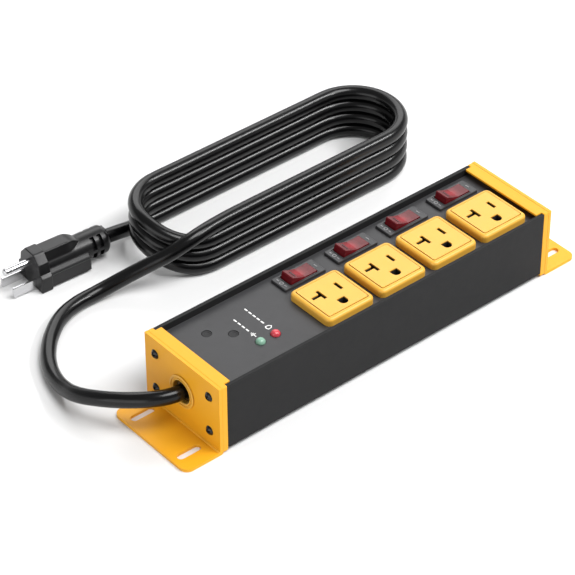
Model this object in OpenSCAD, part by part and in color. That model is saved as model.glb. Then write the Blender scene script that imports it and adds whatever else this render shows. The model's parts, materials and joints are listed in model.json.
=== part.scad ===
// Portable power distribution box: a four-outlet metal power strip with one lit
// rocker switch per outlet, folded end brackets and a coiled mains lead.
// X runs along the box, Y towards its switch side, Z up from the mounting face.
// The origin is the centre of the box's footprint, under its mounting flanges.

/* [Housing] */
// Length of the housing between the end caps
body_l = 240; // [236:1:300]
// Width of the housing over its side walls
body_w = 65.8; // [65:0.1:80]
// Height of the side walls' top edge above the mounting face
rim_z = 46.8; // [45:0.1:60]
// Height of the underside of the housing above the mounting face
floor_z = 3; // [1:0.5:5]
// Thickness of the housing walls
wall = 2.4; // [1.6:0.1:3]
// Depth of the top panel below the rim
panel_recess = 4.2; // [2:0.1:5]
// Thickness of the top panel
panel_t = 2; // [1.5:0.1:3]

/* [End caps and brackets] */
// Thickness of an end cap
cap_t = 3.7; // [3:0.1:5]
// Thickness of a folded bracket
bracket_t = 2; // [1.5:0.1:3]
// Outward reach of a bracket's mounting flange
flange_l = 24.3; // [22:0.1:30]
// Length of a mounting slot, end to end
slot_l = 16; // [12:0.5:18]
// Width of a mounting slot
slot_w = 5; // [4:0.5:6]
// Distance across the box between the centres of two slots
slot_pitch_y = 41.8; // [36:0.1:46]
// Sideways distance of the end screws from the middle
screw_y = 23.8; // [20:0.1:25]

/* [Outlets and switches] */
// Number of outlets, each with its own switch
outlet_count = 4; // [4]
// Distance between neighbouring outlets
outlet_pitch = 39.8; // [38:0.1:45]
// Lengthwise place of the first outlet
outlet_x = -24.7; // [-26:0.1:-24]
// Crosswise place of the outlets
outlet_y = -9.4; // [-10:0.1:-8]
// Outer size of an outlet's bezel
bezel_size = 35; // [34:0.5:36]
// Size of an outlet's face
face_size = 29; // [28:0.5:29]
// Crosswise place of the switches
switch_y = 19.8; // [19:0.1:20]
// Angle that a rocker turns through
rocker_travel = 20; // [14:1:22]

/* [Mains lead] */
// Diameter of the cord
cord_d = 9.3; // [8:0.1:10]
// Number of turns stacked in the coil
coil_turns = 4; // [2:1:6]
// Radius of the coil's round ends, to the middle of the cord
coil_r = 29.5; // [28:0.5:34]
// Lengthwise place of the centre of the coil's end towards the plug
coil_left_x = -21; // [-24:1:0]
// Lengthwise place of the centre of the coil's other end
coil_right_x = 114; // [60:1:160]
// Crosswise place of the coil's middle
coil_y = 130; // [120:1:160]

/* [Hidden] */
$fn = 64;
eps = 0.01;
soft_yellow = [0.96, 0.74, 0.22];
panel_grey = [0.20, 0.20, 0.21];
wall_grey = [0.15, 0.15, 0.16];
moulded_black = [0.06, 0.06, 0.07];
metal = [0.80, 0.81, 0.83];
copper = [0.80, 0.52, 0.30];

panel_top = rim_z - panel_recess;
panel_z = panel_top - panel_t;
inside_z = floor_z + wall;
inside_w = body_w - 2 * wall;
ledge_w = 3;
ledge_t = 2;
ear_t = 2.4;
ear_w = 13;
ear_h = 7;

cap_low = 1.2;
cap_top = 47.2;
tongue_l = 4.2;
tongue_t = 1.5;
tongue_w = inside_w - 0.6;
bracket_x = body_l / 2 + cap_t;
outer_x = bracket_x + bracket_t;
flange_r = 5;
bend_r = 1.5;
slot_x = outer_x + flange_l / 2 + 0.5;
screw_z = [12.5, 36.8];
screw_r = 1.5;
screw_hole_r = 1.7;
screw_head_r = 3;
screw_head_h = 1.8;
screw_l = 9.2;

cord_z = 25;
grommet_r = 10.5;
grommet_barrel_r = 8.5;
grommet_bore_r = 7.2;
grommet_l = 14;
relief_l = 26;
relief_bore_r = cord_d / 2 + 0.05;
nut_flats = 22;
nut_t = 5;

bezel_h = 5.2;
bezel_corner = 3.5;
face_gap = 0.3;
skirt_size = 31.4;
skirt_low = panel_z - 3;
panel_hole = 32;
base_low = 21;
face_top = panel_top + bezel_h + 0.2;
slots_dx = 1;
slots_dy = 3.2;
prong_half = 6.35;
ground_dy = -11.9;
ground_r = 2.8;
pocket_low = 23;
clip_t = 0.6;
clip_gap = 1.5;

frame_l = 30.6;
frame_w = 13.4;
frame_t = 1.7;
frame_skirt = [26.6, 11.8];
frame_open = [20.4, 10];
frame_low = 24;
pivot_z = 41;
pivot_r = 1;
pivot_play = 0.05;
pivot_reach = 5.8;
rocker_w = 9.3;
terminal_dx = 7;

led_x = [-78.6, -67.8];
led_y = -11.2;
led_r = 2.9;
led_low = 37;
plug_spots = [[-97, 13.7], [-85.6, 4]];
board_box = [56, 46, 1.6];
board_at = [-77.5, -5, 32];

bus_z = 17;
bus_t = 1;
bus_w = 5.6;
ground_screw_x = -54;
ground_screw_y = outlet_y + slots_dy + ground_dy;

// Places that the mains plug is measured from: its front face, on the floor
prongs_at = [-115.5, 159.5];
prongs_yaw = 177;
blade_z = 4.7;
pin_z = blade_z - ground_dy;
grip_z = 10.5;
grip_r = 9;
plug_l = 53;

// Middle of the cord from inside the box to the coil
lead_route = [
    [-106, 0, 25], [-116, 0, 25], [-126, 0, 25], [-134, 1.5, 25], [-142, 6, 24.6],
    [-149, 13, 23.2], [-155, 22, 20.8], [-160, 34, 17], [-163, 47, 12.5], [-162.5, 60, 8.1],
    [-160, 73, 5.5], [-155, 86, 4.8], [-147, 98, 4.8], [-136, 109, 4.8], [-123, 117.5, 4.8],
    [-109, 121.5, 4.8], [-96, 121.5, 5.4], [-86, 119.3, 8], [-77, 116.1, 11.6],
    [-69.8, 112.6, 15.2], [-62.7, 108.6, 19.2], [-56, 104.4, 23.2], [-49, 101.3, 27.1],
    [-41.5, 99.4, 30.4], [-32, 99.2, 32.2], [-21.5, 99.9, 32.5], [-11, 100.5, 32.5]
];
// Middle of the cord from the coil to the plug
tail_route = [
    [-26, 159.4, 4.7], [-34, 158.6, 5.6], [-43, 157.2, 7.6], [-52, 156.4, 9.6],
    [-61, 156.6, 10.5], [-70, 157.1, 10.5]
];
// Middles of the three conductors inside the box
live_route = [
    [-105.9, 1.5, 26.5], [-101, 1.5, 26.5], [-97.5, 3.6, 24.8], [-94, 9, 19], [-86, 15, 12],
    [-72, 21, 10], [-56, 21, 11], [-44, 20, 13], [-34, 19.8, 14.2]
];
neutral_route = [
    [-105.9, -2, 26], [-101, -2, 26], [-96, -2.6, 25.4], [-91, -3.2, 20], [-87, -3.6, 13],
    [-80, -4.2, 10], [-72, -5, 9.5], [-58, -6, 12], [-50, -6.2, 15.2], [-44, -6.2, 15.8]
];
ground_route = [
    [-105.9, 0, 22.8], [-101, 0, 22.8], [-97.8, -0.6, 21.4], [-95, -3, 16.5], [-92, -7.5, 12],
    [-86, -13, 9.5], [-74, -17, 9], [-62, -18.1, 11.5], [-54, -18.1, 15], [-48, -18.1, 15.8]
];
wire_d = 2.4;

function outlet_at(n) = outlet_x + (n - 1) * outlet_pitch;
function unit(v) = v / norm(v);

// Flat outlines

module rounded_rect(size, r) {
    square([size[0] - 2 * r, size[1]], center = true);
    square([size[0], size[1] - 2 * r], center = true);
    for (sx = [-1, 1], sy = [-1, 1])
        translate([sx * (size[0] / 2 - r), sy * (size[1] / 2 - r)]) circle(r);
}

module slot_outline(length, width) {
    square([length - width, width], center = true);
    for (s = [-1, 1]) translate([s * (length - width) / 2, 0]) circle(width / 2);
}

// A ground hole: round towards the front, square towards the other two
module ground_outline() {
    circle(ground_r);
    translate([-ground_r, 0]) square([2 * ground_r, ground_r + 0.2]);
}

module prism(size, r, low, high) {
    translate([0, 0, low]) linear_extrude(high - low) rounded_rect(size, r);
}

// A closed tube swept along a route, with one ring at each of its points
module swept_tube(route, d, sides) {
    last = len(route) - 1;
    function heading(i) = unit(route[min(i + 1, last)] - route[max(i - 1, 0)]);
    function across(i) = unit(cross(heading(i), [0, 0, 1]));
    function rise(i) = cross(across(i), heading(i));
    rings = [
        for (i = [0 : last], k = [0 : sides - 1])
            route[i] + d / 2 * (cos(360 * k / sides) * across(i) + sin(360 * k / sides) * rise(i))
    ];
    skin = [
        for (i = [0 : last - 1], k = [0 : sides - 1])
            let (a = i * sides + k, b = i * sides + (k + 1) % sides)
                [b, a, a + sides, b + sides]
    ];
    near_end = [for (k = [0 : sides - 1]) k];
    far_end = [for (k = [sides - 1 : -1 : 0]) last * sides + k];
    polyhedron(rings, concat([near_end, far_end], skin));
}

// Box, caps and brackets

module wall_ears() {
    for (sx = [-1, 1], sy = [-1, 1], z = screw_z)
        translate([sx * (body_l - ear_t) / 2, sy * (inside_w - ear_w + eps) / 2, z])
            cube([ear_t, ear_w + eps, ear_h], center = true);
}

module housing() {
    color(wall_grey) difference() {
        union() {
            translate([-body_l / 2, -body_w / 2, floor_z]) cube([body_l, body_w, wall]);
            for (s = [-1, 1]) {
                translate([-body_l / 2, s * (body_w - wall) / 2 - wall / 2, floor_z])
                    cube([body_l, wall, rim_z - floor_z]);
                translate([-body_l / 2, s * (inside_w - ledge_w + eps) / 2 - (ledge_w + eps) / 2,
                           panel_z - ledge_t])
                    cube([body_l, ledge_w + eps, ledge_t]);
            }
            wall_ears();
        }
        for (sy = [-1, 1], z = screw_z)
            translate([-body_l / 2 - 1, sy * screw_y, z]) rotate([0, 90, 0])
                cylinder(r = screw_r, h = body_l + 2);
        translate([ground_screw_x, ground_screw_y, floor_z - 1]) cylinder(r = screw_r, h = wall + 2);
    }
}

module top_panel() {
    color(panel_grey) difference() {
        translate([-body_l / 2, -inside_w / 2 + 0.1, panel_z]) cube([body_l, inside_w - 0.2, panel_t]);
        for (n = [1 : outlet_count]) {
            translate([outlet_at(n), outlet_y, 0])
                prism([panel_hole, panel_hole], 1, panel_z - 1, panel_top + 1);
            translate([outlet_at(n), switch_y, 0])
                prism(frame_skirt + [0.4, 0.2], 0.5, panel_z - 1, panel_top + 1);
        }
        for (x = led_x) translate([x, led_y, panel_z - 1]) cylinder(r = led_r + 0.1, h = panel_t + 2);
        for (p = plug_spots) translate([p[0], p[1], panel_z - 1]) cylinder(r = 3, h = panel_t + 2);
    }
}

// End pieces are drawn for the +X end and mirrored for the other
module at_end(side) {
    if (side < 0) mirror([1, 0, 0]) children();
    else children();
}

module end_screw_spots(x) {
    for (sy = [-1, 1], z = screw_z) translate([x, sy * screw_y, z]) rotate([0, 90, 0]) children();
}

module end_cap(side, bored) {
    at_end(side) color(soft_yellow) difference() {
        union() {
            translate([body_l / 2, -body_w / 2, cap_low]) cube([cap_t, body_w, cap_top - cap_low]);
            translate([body_l / 2 - tongue_l, -tongue_w / 2, cap_top - tongue_t])
                cube([tongue_l + eps, tongue_w, tongue_t]);
        }
        end_screw_spots(body_l / 2 - 1) cylinder(r = screw_hole_r, h = cap_t + 2);
        if (bored)
            translate([body_l / 2 - 1, 0, cord_z]) rotate([0, 90, 0])
                cylinder(r = grommet_barrel_r, h = cap_t + 2);
    }
}

module bracket_fold() {
    translate([outer_x - bracket_t, bend_r]) square([bracket_t, cap_top - bend_r]);
    translate([outer_x - bracket_t + bend_r, 0]) square([flange_l + bracket_t - bend_r, bracket_t]);
    translate([outer_x - bracket_t + bend_r, bend_r]) circle(bend_r);
    difference() {
        translate([outer_x - eps, bracket_t - eps]) square(1 + eps);
        translate([outer_x + 1, bracket_t + 1]) circle(1);
    }
}

module bracket(side, bored) {
    reach = flange_l + bracket_t;
    at_end(side) color(soft_yellow) difference() {
        intersection() {
            rotate([90, 0, 0]) linear_extrude(body_w, center = true) bracket_fold();
            translate([outer_x - bracket_t + reach / 2 - flange_r, 0, -1])
                linear_extrude(cap_top + 2) rounded_rect([reach + 2 * flange_r, body_w], flange_r);
        }
        for (sy = [-1, 1]) translate([slot_x, sy * slot_pitch_y / 2, -1])
            linear_extrude(bracket_t + 2) slot_outline(slot_l, slot_w);
        end_screw_spots(bracket_x - 1) cylinder(r = screw_hole_r, h = bracket_t + 2);
        if (bored)
            translate([bracket_x - 1, 0, cord_z]) rotate([0, 90, 0])
                cylinder(r = grommet_barrel_r, h = bracket_t + 2);
    }
}

// A domed screw with a cross recess, its head up and the underside of its head at z = 0
module domed_screw(length) {
    dome_r = (screw_head_r * screw_head_r + screw_head_h * screw_head_h) / (2 * screw_head_h);
    difference() {
        intersection() {
            cylinder(r = screw_head_r, h = screw_head_h);
            translate([0, 0, screw_head_h - dome_r]) sphere(dome_r);
        }
        for (a = [0, 90]) rotate([0, 0, a])
            translate([-1.6, -0.35, screw_head_h - 0.9]) cube([3.2, 0.7, 1]);
    }
    translate([0, 0, -length]) cylinder(r = screw_r, h = length + eps);
}

module cap_screws(side) {
    at_end(side) color(moulded_black) end_screw_spots(outer_x) domed_screw(screw_l);
}

// The cord's way in, along -X from inside the left end

module lengthwise(x) {
    translate([x, 0, cord_z]) rotate([0, 90, 0]) children();
}

module cord_grommet() {
    color(soft_yellow) lengthwise(-outer_x) rotate_extrude() polygon([
        [grommet_bore_r, -1], [grommet_r - 0.5, -1], [grommet_r, -0.5], [grommet_r, 0],
        [grommet_barrel_r, 0], [grommet_barrel_r, grommet_l], [grommet_bore_r, grommet_l]
    ]);
}

module gland_nut() {
    color(moulded_black) lengthwise(-body_l / 2) difference() {
        cylinder(r = nut_flats / sqrt(3), h = nut_t, $fn = 6);
        translate([0, 0, -1]) cylinder(r = grommet_barrel_r, h = nut_t + 2);
    }
}

// A tapered sleeve that grips the cord and fills the grommet's mouth with its narrow end
module strain_relief() {
    color(moulded_black) lengthwise(-outer_x + 1) rotate_extrude() polygon([
        [relief_bore_r, 0], [6, 0], [6.4, 0.6], [grommet_bore_r, 12], [grommet_bore_r, 15],
        [9, 15.4], [9, 17], [7, 18], [6.4, relief_l], [relief_bore_r, relief_l]
    ]);
}

// Outlets

module at_outlet(n) {
    translate([outlet_at(n), outlet_y, 0]) children();
}

module outlet_bezel(n) {
    inner = face_size + 2 * face_gap;
    at_outlet(n) color(soft_yellow) difference() {
        union() {
            prism([bezel_size, bezel_size], bezel_corner, panel_top, panel_top + 3.4);
            prism([bezel_size - 1.2, bezel_size - 1.2], bezel_corner - 0.4, panel_top, panel_top + 4.6);
            prism([bezel_size - 3, bezel_size - 3], bezel_corner - 1, panel_top, panel_top + bezel_h);
            prism([skirt_size, skirt_size], 1, skirt_low, panel_top + 1);
            for (s = [-1, 1]) translate([s * skirt_size / 2, 0, panel_z - 1.1])
                cube([2, 6, 2], center = true);
        }
        prism([inner, inner], 0.8, skirt_low - 1, face_top + 1);
    }
}

// A tee for the neutral prong, a straight slot for the live one, and the ground hole
module prong_holes(low) {
    translate([slots_dx, slots_dy, low]) linear_extrude(face_top - low + 1) {
        translate([-prong_half, 0]) square([2.2, 8.4], center = true);
        translate([-prong_half - 3.6, 0]) square([6, 2.4], center = true);
        translate([prong_half, 0]) square([2.2, 6.9], center = true);
        translate([0, ground_dy]) ground_outline();
    }
}

module outlet_face(n) {
    at_outlet(n) color(soft_yellow) difference() {
        prism([face_size, face_size], 0.6, skirt_low, face_top);
        prong_holes(skirt_low - 1);
    }
}

module contact_pocket(x, y, size) {
    translate([x - size[0] / 2, y - size[1] / 2, pocket_low])
        cube([size[0], size[1], skirt_low - pocket_low + 1]);
}

module outlet_base(n) {
    at_outlet(n) color(moulded_black) difference() {
        prism([skirt_size, skirt_size], 1, base_low, skirt_low);
        translate([slots_dx, slots_dy, 0]) {
            contact_pocket(-prong_half, 0, [5, 8.6]);
            contact_pocket(prong_half, 0, [5, 8.6]);
            contact_pocket(0, ground_dy, [7.2, 7.2]);
            // Ways out for the contacts' tails
            for (p = [[-prong_half, 0], [0, ground_dy]])
                translate([p[0] - 2, p[1] - 1.5, base_low - 1]) cube([4, 3, 3]);
            translate([prong_half - 1.5, 0, pocket_low]) cube([3, 20, 2]);
        }
    }
}

// Two sprung leaves joined at the bottom, which grip a flat prong
module prong_clip() {
    leaf = [clip_t, 7, 11];
    for (s = [-1, 1]) translate([s * (clip_gap + clip_t) / 2, 0, pocket_low + leaf[2] / 2])
        cube(leaf, center = true);
    translate([0, 0, pocket_low + clip_t / 2]) cube([clip_gap + 2 * clip_t, leaf[1], clip_t], center = true);
}

module live_contacts() {
    color(copper) for (n = [1 : outlet_count]) at_outlet(n)
        translate([slots_dx + prong_half, slots_dy, 0]) {
            prong_clip();
            translate([-1.2, 0, pocket_low]) cube([2.4, 15.5, clip_t]);
        }
}

module bus_strip(y, from_x, to_x) {
    translate([from_x, y - bus_w / 2, bus_z]) cube([to_x - from_x, bus_w, bus_t]);
}

module neutral_busbar() {
    y = outlet_y + slots_dy;
    color(copper) union() {
        bus_strip(y, -46, outlet_at(outlet_count) + 4);
        for (n = [1 : outlet_count]) translate([outlet_at(n) + slots_dx - prong_half, y, 0]) {
            prong_clip();
            translate([-1.2, -1.2, bus_z]) cube([2.4, 2.4, pocket_low - bus_z + clip_t]);
        }
    }
}

// A strip with a round sprung cup under each ground hole, and a foot bonded to the housing
module ground_busbar() {
    y = ground_screw_y;
    color(copper) difference() {
        union() {
            bus_strip(y, -50, outlet_at(outlet_count) + 6);
            translate([-50, y - bus_w / 2, inside_z]) cube([bus_t, bus_w, bus_z - inside_z + bus_t]);
            translate([-58, y - bus_w / 2, inside_z]) cube([9, bus_w, bus_t]);
            for (n = [1 : outlet_count]) translate([outlet_at(n) + slots_dx, y, bus_z]) {
                cylinder(r = 1.4, h = pocket_low - bus_z + clip_t);
                translate([0, 0, pocket_low - bus_z]) cylinder(r = 3.2, h = 11);
            }
        }
        for (n = [1 : outlet_count]) translate([outlet_at(n) + slots_dx, y, pocket_low + clip_t])
            cylinder(r = 2.4, h = 12);
        translate([ground_screw_x, y, inside_z - 1]) cylinder(r = screw_hole_r, h = bus_t + 2);
    }
}

module ground_screw() {
    color(metal) translate([ground_screw_x, ground_screw_y, inside_z + bus_t]) domed_screw(4);
}

// Switches

module at_switch(n) {
    translate([outlet_at(n), switch_y, 0]) children();
}

module terminal_spots() {
    for (dx = [-terminal_dx, 0, terminal_dx]) translate([dx, 0, 0]) children();
}

module terminal_blade(low, high) {
    translate([-0.4, -2.4, low]) cube([0.8, 4.8, high - low]);
}

module switch_frame(n) {
    at_switch(n) color(moulded_black) difference() {
        union() {
            prism([frame_l, frame_w], 1, panel_top, panel_top + frame_t);
            prism(frame_skirt, 0.4, frame_low, panel_top + eps);
        }
        prism(frame_open, 0.6, frame_low + 1.5, panel_top + frame_t + 1);
        translate([0, 0, pivot_z]) rotate([90, 0, 0])
            cylinder(r = pivot_r + pivot_play, h = frame_w + 2, center = true);
        terminal_spots() terminal_blade(frame_low - 1, frame_low + 2);
    }
}

// Side view of a rocker about its pivot, before it is tipped to one end of its travel
module rocker_outline() {
    right = [[0, 4.16], [9.1, 5.8], [9.4, 5.2], [9.85, 0.5], [8.4, -2.6], [4, -4.6]];
    left = [for (i = [len(right) - 1 : -1 : 1]) [-right[i][0], right[i][1]]];
    polygon(concat(right, left));
}

module rocker(n) {
    at_switch(n) translate([0, 0, pivot_z]) rotate([0, rocker_travel / 2, 0])
        color([0.70, 0.05, 0.06]) rotate([90, 0, 0]) {
            linear_extrude(rocker_w, center = true) rocker_outline();
            cylinder(r = pivot_r, h = 2 * pivot_reach, center = true);
        }
}

module switch_terminals() {
    color(metal) for (n = [1 : outlet_count]) at_switch(n)
        terminal_spots() terminal_blade(bus_z - 1, frame_low + 3);
}

module live_busbar() {
    first = outlet_at(1) - terminal_dx;
    last = outlet_at(outlet_count) - terminal_dx;
    color(copper) translate([first - 4, switch_y - 2.4, bus_z - 2]) cube([last - first + 8, 4.8, 1]);
}

// A short wire from each switch's middle terminal to its outlet's live contact
module switch_leads() {
    tail_x = slots_dx + prong_half;
    tail_y = outlet_y + slots_dy + 13.5;
    color(moulded_black) for (n = [1 : outlet_count])
        translate([outlet_at(n), 0, 0]) swept_tube([
            [0.4, switch_y - 2.4, 18.5], [2, switch_y - 5, 18.6], [4.5, switch_y - 8, 19.6],
            [6.5, tail_y + 1.5, 20.9], [tail_x, tail_y - 0.3, 22.1]
        ], 2, 8);
}

// Lamps and the surge board

module lamp(x, tint) {
    color(tint) translate([x, led_y, 0]) {
        translate([0, 0, led_low]) cylinder(r = led_r, h = panel_top + 0.4 - led_low);
        translate([0, 0, panel_top + 0.4]) intersection() {
            cylinder(r = led_r, h = 4);
            translate([0, 0, -1]) sphere(sqrt(led_r * led_r + 1));
        }
        for (s = [-1, 1]) translate([s * 1.27, 0, board_at[2] + board_box[2]])
            cylinder(r = 0.3, h = led_low - board_at[2] - board_box[2] + eps);
    }
}

module blanking_plugs() {
    color(moulded_black) for (p = plug_spots) translate([p[0], p[1], 0]) {
        translate([0, 0, panel_z - 1.5]) cylinder(r = 3, h = panel_t + 1.3);
        translate([0, 0, panel_z - 1.5]) cylinder(r = 3.4, h = 1.3);
    }
}

module standoff_spots() {
    for (sx = [-1, 1], sy = [-1, 1])
        translate([board_at[0] + sx * 24, board_at[1] + sy * 19, 0]) children();
}

module control_board() {
    color([0.10, 0.35, 0.16]) difference() {
        translate(board_at - [board_box[0], board_box[1], 0] / 2) cube(board_box);
        standoff_spots() translate([0, 0, board_at[2] - 1]) cylinder(r = screw_hole_r, h = 4);
    }
}

module varistors() {
    color([0.10, 0.25, 0.60]) for (i = [-1 : 1])
        translate([board_at[0] + 14 * i + 4, board_at[1] + 12, 24]) {
            rotate([0, 90, 0]) cylinder(r = 6.5, h = 4.5, center = true);
            for (s = [-1, 1]) translate([0, s * 3.75, 4.5]) cylinder(r = 0.4, h = 3.5);
        }
}

module board_standoffs() {
    color(metal) standoff_spots() difference() {
        translate([0, 0, inside_z]) cylinder(r = 2.75, h = board_at[2] - inside_z, $fn = 6);
        translate([0, 0, board_at[2] - 8]) cylinder(r = screw_r, h = 9);
    }
}

module board_screws() {
    color(metal) standoff_spots()
        translate([0, 0, board_at[2] + board_box[2]]) domed_screw(6);
}

// Wires, cord and plug

module wire(route, tint) {
    color(tint) swept_tube(route, wire_d, 8);
}

module cord_lead() {
    color(moulded_black) swept_tube(lead_route, cord_d, 12);
}

module cord_tail() {
    color(moulded_black) swept_tube(tail_route, cord_d, 12);
}

module coil_outline(r) {
    for (x = [coil_left_x, coil_right_x]) translate([x, coil_y]) circle(r);
    translate([coil_left_x, coil_y - r]) square([coil_right_x - coil_left_x, 2 * r]);
}

module cord_coil() {
    color(moulded_black) linear_extrude(coil_turns * cord_d) difference() {
        coil_outline(coil_r + cord_d / 2);
        coil_outline(coil_r - cord_d / 2);
    }
}

// The plug's own frame: u along its prongs from its front face, v across, w up from the floor
module at_plug() {
    translate([prongs_at[0], prongs_at[1], 0]) rotate([0, 0, prongs_yaw]) children();
}

module along_plug(from_u, to_u) {
    translate([to_u, 0, 0]) rotate([90, 0, -90]) linear_extrude(to_u - from_u) children();
}

// Cross section of the moulded body, drawn in by the given amount
module plug_section(inset) {
    right = [[13, 0], [13, 10.6], [11, 12.4], [9.8, 18.5], [4.6, 24]];
    shrunk = [for (p = right) [p[0] - inset, p[1] + (p[1] > 12 ? -inset : inset)]];
    left = [for (i = [len(shrunk) - 1 : -1 : 0]) [-shrunk[i][0], shrunk[i][1]]];
    polygon(concat(shrunk, left));
}

// The flat-topped ridge that runs back from the collar over the round grip
module ridge_section() {
    polygon([[8.6, 10], [6.4, 17], [4.9, 23], [-4.9, 23], [-6.4, 17], [-8.6, 10]]);
}

module plug_blade_spots() {
    for (s = [-1, 1]) translate([0, s * prong_half, blade_z]) children();
}

module plug_body() {
    at_plug() color(moulded_black) difference() {
        union() {
            along_plug(-7.5, 0) plug_section(0);
            along_plug(-26, -7) ridge_section();
            along_plug(-36, -7) intersection() {
                plug_section(1.6);
                square([40, 37], center = true);
            }
            translate([-plug_l, 0, grip_z]) rotate([0, 90, 0]) rotate_extrude() polygon([
                [0, 0], [7.5, 0], [grip_r, 2.5], [grip_r, plug_l - 20], [0, plug_l - 20]
            ]);
        }
        plug_blade_spots() cube([20, 1.5, 6.35], center = true);
        translate([-10, 0, pin_z]) rotate([0, 90, 0]) cylinder(r = 2.4, h = 11);
        for (u = [-41, -46], s = [-1, 1])
            translate([u, s * (grip_r - 0.5), grip_z]) cube([2.2, 3, 8], center = true);
        translate([-plug_l - 1, 0, grip_z]) rotate([0, 90, 0]) cylinder(r = relief_bore_r, h = 10);
    }
}

module plug_blades() {
    at_plug() color(metal) plug_blade_spots() translate([-10, -0.75, -3.175]) cube([26.4, 1.5, 6.35]);
}

module plug_ground_pin() {
    at_plug() color(metal) translate([-10, 0, pin_z]) rotate([0, 90, 0]) {
        cylinder(r = 2.4, h = 26.6);
        translate([0, 0, 26.6]) sphere(2.4);
    }
}

housing();
top_panel();
end_cap(-1, true);  // left_end_cap
end_cap(1, false);  // right_end_cap
bracket(-1, true);  // left_bracket
bracket(1, false);  // right_bracket
cap_screws(-1);  // left_cap_screws
cap_screws(1);  // right_cap_screws
cord_grommet();
gland_nut();
strain_relief();
for (n = [1 : outlet_count]) {
    outlet_bezel(n);
    outlet_face(n);
    outlet_base(n);
    switch_frame(n);
    rocker(n);
}
live_contacts();
neutral_busbar();
ground_busbar();
ground_screw();
switch_terminals();
live_busbar();
switch_leads();
lamp(led_x[0], [0.10, 0.60, 0.30]);  // green_lamp
lamp(led_x[1], [0.80, 0.10, 0.10]);  // red_lamp
blanking_plugs();
control_board();
varistors();
board_standoffs();
board_screws();
wire(live_route, moulded_black);  // live_wire
wire(neutral_route, [0.90, 0.90, 0.88]);  // neutral_wire
wire(ground_route, [0.10, 0.50, 0.20]);  // ground_wire
cord_lead();
cord_coil();
cord_tail();
plug_body();
plug_blades();
plug_ground_pin();
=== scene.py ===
"""Visual model of the portable power distribution box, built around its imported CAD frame."""

import json
import math

import bmesh
import bpy
from mathutils import Matrix, Vector


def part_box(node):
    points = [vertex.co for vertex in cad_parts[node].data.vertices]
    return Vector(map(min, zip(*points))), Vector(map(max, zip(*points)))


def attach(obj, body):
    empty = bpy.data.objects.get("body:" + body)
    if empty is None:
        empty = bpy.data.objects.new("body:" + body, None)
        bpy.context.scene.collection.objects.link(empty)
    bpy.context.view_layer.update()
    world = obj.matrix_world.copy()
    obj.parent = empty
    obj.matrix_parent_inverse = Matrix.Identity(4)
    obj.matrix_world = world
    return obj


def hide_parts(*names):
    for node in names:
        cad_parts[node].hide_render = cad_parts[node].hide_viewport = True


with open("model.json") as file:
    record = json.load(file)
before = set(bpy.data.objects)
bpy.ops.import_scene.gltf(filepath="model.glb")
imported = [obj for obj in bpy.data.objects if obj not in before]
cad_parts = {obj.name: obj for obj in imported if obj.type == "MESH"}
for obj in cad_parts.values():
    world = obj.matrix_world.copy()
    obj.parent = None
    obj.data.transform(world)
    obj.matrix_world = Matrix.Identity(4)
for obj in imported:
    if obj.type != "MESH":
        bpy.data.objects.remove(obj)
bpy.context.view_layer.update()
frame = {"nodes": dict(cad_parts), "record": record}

MM = 0.001
BOX = "box"
OUTLETS = range(1, 5)
DISC_STEPS = 40

PANEL_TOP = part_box("top_panel")[1].z
# How far a screw reaches in from the outer face of its bracket, in millimetres
SCREW_L = 9.2
OUTER_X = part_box("right_cap_screws")[0].x + SCREW_L * MM
CORD_Z = (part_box("cord_grommet")[0].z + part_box("cord_grommet")[1].z) / 2


# ---------------------------------------------------------------- small geometry helpers


def mm(*values):
    """A vector given in millimetres, in metres."""
    return Vector(values) * MM


def middle(node):
    """The middle of a CAD node's box."""
    low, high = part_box(node)
    return (low + high) / 2


def fillet(points, radius, steps=4):
    """A closed outline with each corner rounded: radius is one number, or one per corner."""
    radii = radius if isinstance(radius, (list, tuple)) else [radius] * len(points)
    rounded = []
    for i, corner in enumerate(points):
        here = Vector(corner)
        before = Vector(points[i - 1]) - here
        after = Vector(points[(i + 1) % len(points)]) - here
        half = before.angle(after) / 2
        reach = min(radii[i] / math.tan(half), 0.49 * before.length, 0.49 * after.length)
        if reach < 1e-7:
            rounded.append(tuple(here))
            continue
        start = here + before.normalized() * reach
        end = here + after.normalized() * reach
        for k in range(steps + 1):
            t = k / steps
            pull = here * (2 * t * (1 - t))
            rounded.append(tuple(start * (1 - t) ** 2 + pull + end * t ** 2))
    return rounded


def moved(points, at=(0, 0)):
    """An outline given in millimetres about a place, in metres."""
    return [(at[0] + x * MM, at[1] + y * MM) for x, y in points]


def rounded_rect(width, depth, radius, steps=6, at=(0, 0)):
    """The outline of a rectangle with round corners about a place."""
    points = []
    for quarter in range(4):
        sx = 1 if quarter in (0, 3) else -1
        sy = 1 if quarter in (0, 1) else -1
        for k in range(steps + 1):
            a = math.pi / 2 * (quarter + k / steps)
            points.append((
                at[0] + sx * (width / 2 - radius) + radius * math.cos(a),
                at[1] + sy * (depth / 2 - radius) + radius * math.sin(a),
            ))
    return points


def disc(radius, at=(0, 0)):
    """The outline of a circle about a place."""
    return [
        (at[0] + radius * math.cos(2 * math.pi * k / DISC_STEPS),
         at[1] + radius * math.sin(2 * math.pi * k / DISC_STEPS))
        for k in range(DISC_STEPS)
    ]


def arc(centre, radius, start, end, steps=6):
    """Points of a circular arc between two angles in degrees."""
    points = []
    for k in range(steps + 1):
        a = math.radians(start + (end - start) * k / steps)
        points.append((centre[0] + radius * math.cos(a), centre[1] + radius * math.sin(a)))
    return points


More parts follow.
